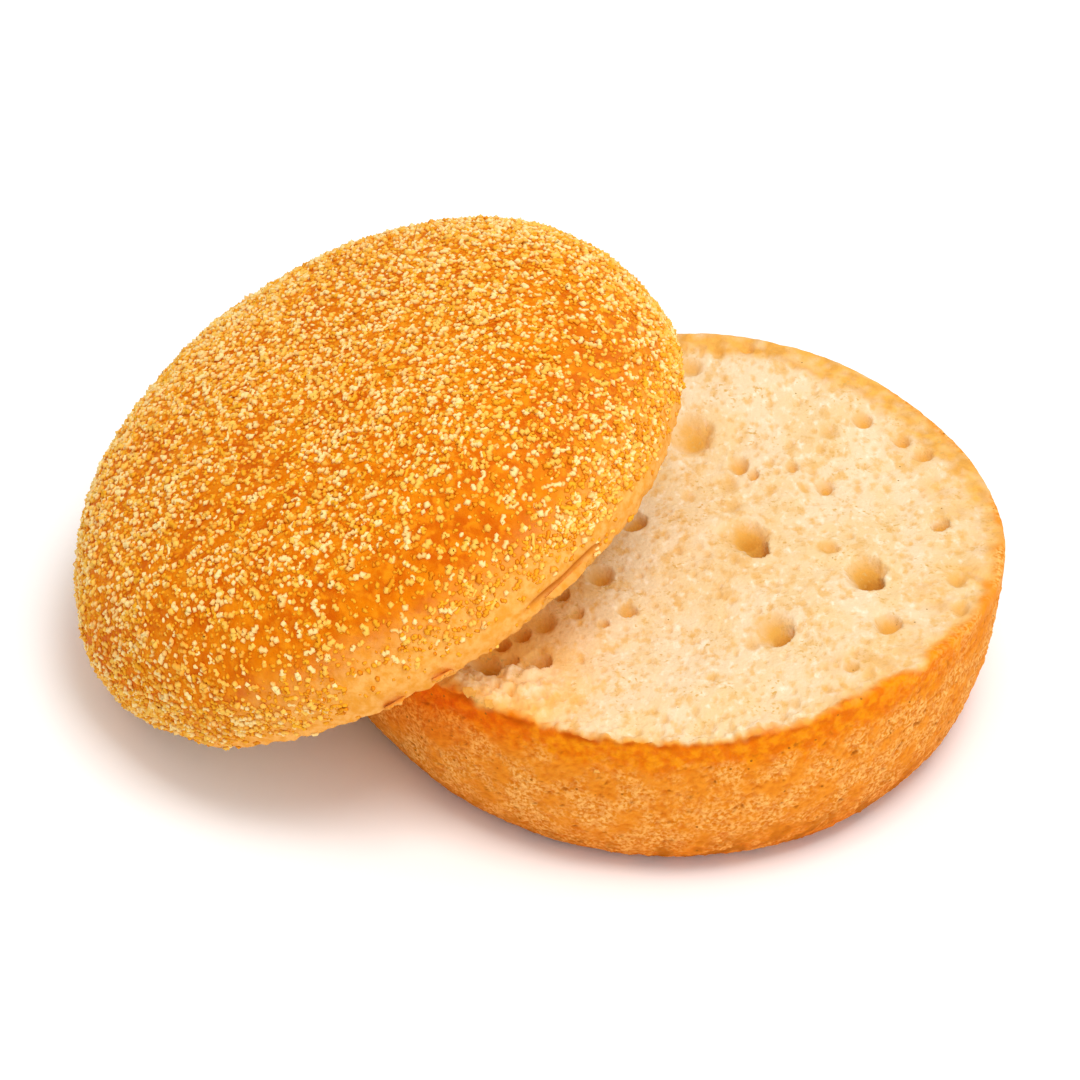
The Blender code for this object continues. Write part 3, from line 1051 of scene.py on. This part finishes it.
def flakes(sheet, spots, widths, random):
    """Points, faces and tones of low flakes: a ring of six with a point above it and one below. The top is
    painted light and the underside painted shade.
    """
    count = len(spots)
    out = unit(on_sheet(sheet.normals(), spots[:, 0]))
    side = unit(np.cross(out, random.normal(size=(count, 3))))
    front = np.cross(out, side)
    wide = random.uniform(*widths, (count, 1)) / 2
    middle = on_sheet(sheet.points, spots[:, 0])
    turn = (np.arange(FLAKE_SIDES) / FLAKE_SIDES * tau)[:, None]
    reach = wide[:, None] * random.uniform(0.6, 1.3, (count, FLAKE_SIDES, 1))
    ring = middle[:, None] + (np.cos(turn) * side[:, None] + 0.7 * np.sin(turn) * front[:, None]) * reach
    ring = ring + out[:, None] * 0.08 * random.uniform(-1, 0.3, (count, FLAKE_SIDES, 1))
    ends = middle[:, None] + out[:, None] * wide[:, None] * np.array([[[0.55], [-0.4]]])
    points = np.concatenate([ring, ends], axis=1)
    # Painted light on the top point, painted shade on the bottom one, and each flake's own random tone.
    tone = np.array([0.7] * FLAKE_SIDES + [0.1, 1.0]) + random.normal(0, 0.25, (count, 1))
    top, bottom = FLAKE_SIDES, FLAKE_SIDES + 1
    onward = [(a, (a + 1) % FLAKE_SIDES) for a in range(FLAKE_SIDES)]
    faces = [(top, a, b) for a, b in onward] + [(bottom, b, a) for a, b in onward]
    return points, repeated(faces, FLAKE_SIDES + 2, count), tone


# %% [markdown]
# ## The finish of the grains
# Raw semolina is cream. In the oven it dries to gold. A grain lets some light through, and what comes
# out of its sides has passed the crust below, so its top is pale and its sides are amber. Each grain
# also has a tone of its own.

# %% Grain materials
def semolina(name, light, dark):
    """Cracked hard wheat: hard and dry, so its shine is broad and weak."""
    material, tree, shader = new_material(name)
    colour = coats(tree, light, ("tone", dark))
    fill_in(tree, shader, {"Base Color": colour, "Roughness": 0.6, "IOR": 1.5, "Specular IOR Level": 0.1})
    return material


# %% The semolina pieces
def semolina_piece(name, light, dark, chain_counts, flake_count, widths, seed):
    """A piece of joined grains on the dome: chain_counts says how many chains have each number of rings."""
    random = np.random.default_rng(seed)
    points, faces, shades_and_tones = [], [], []
    start = 0
    for rings, count in (*chain_counts.items(), (1, flake_count)):
        spots = chain_spots(TOP_CRUST, DENSITY, count, rings, random)
        build = chains if rings > 1 else flakes
        span = widths if rings > 1 else FLAKE_WIDTHS
        some, their_faces, tone = build(TOP_CRUST, spots, span, random)
        points.append(some.reshape(-1, 3))
        faces += [[corner + start for corner in face] for face in their_faces]
        shades_and_tones.append(tone.ravel())
        start += some.shape[0] * some.shape[1]
    marks = {"tone": np.clip(np.concatenate(shades_and_tones), 0, 1)}
    material = semolina(name, light, dark)
    add_piece(name, np.concatenate(points), faces, TOP_SEAT, marks, material)


# name, light and dark colour, chains by their number of rings, flakes, widths in mm, seed
for row in (
    ("semolina_pale", "#FFE298", "#F2A22C", {2: 3400, 3: 2200, 5: 500}, 0, (0.5, 0.92), 901),
    ("semolina_golden", "#FCC858", "#EC9210", {2: 3400, 3: 2200, 5: 500}, 0, (0.5, 0.95), 902),
    ("semolina_toasted", "#F4AE24", "#DE7A00", {3: 1500, 5: 400}, 9500, (0.5, 0.85), 903),
):
    semolina_piece(*row)

# %% [markdown]
# ## Studio
# Food is lit softly from nearly all round, so that crumb stays light in its hollows. A white world does
# half of it. One large lamp hangs overhead, a little in front, so the top half casts a soft shade on the
# crumb right below its edge. A weaker one, low on the right, brightens the wall. The floor is plain.

# %% Lights and floor
def soft_lamp(name, direction, distance, size, watts):
    """A square lamp in this direction from the muffin, facing it."""
    lamp = bpy.data.objects.new(name, bpy.data.lights.new(name, "AREA"))
    lamp.data.size = size
    lamp.data.energy = watts
    out = Vector(direction).normalized()
    lamp.location = AIM + out * distance
    lamp.rotation_euler = out.to_track_quat("Z", "Y").to_euler()
    bpy.context.scene.collection.objects.link(lamp)


def light_the_studio():
    world = bpy.data.worlds.new("studio")
    world.use_nodes = True
    fill_in(world.node_tree, world.node_tree.nodes["Background"], {"Color": "#FFFFFF", "Strength": 0.74})
    bpy.context.scene.world = world
    soft_lamp("key", (0.2, -0.22, 1), 1.1, 0.5, 6.5)
    soft_lamp("fill", (0.65, -0.7, 0.4), 1.2, 0.8, 2.0)
    bpy.context.scene.view_settings.view_transform = "Standard"


def lay_the_floor():
    corners = [(3 * x, 3 * y, CAD_BOX[0].z) for x, y in ((-1, -1), (1, -1), (1, 1), (-1, 1))]
    mesh = bpy.data.meshes.new("floor")
    mesh.from_pydata(corners, [], [(0, 1, 2, 3)])
    paint, tree, shader = new_material("floor_paint")
    fill_in(tree, shader, {"Base Color": "#FFFFFF", "Roughness": 0.9})
    mesh.materials.append(paint)
    floor = bpy.data.objects.new("floor", mesh)
    bpy.context.scene.collection.objects.link(floor)


light_the_studio()
lay_the_floor()
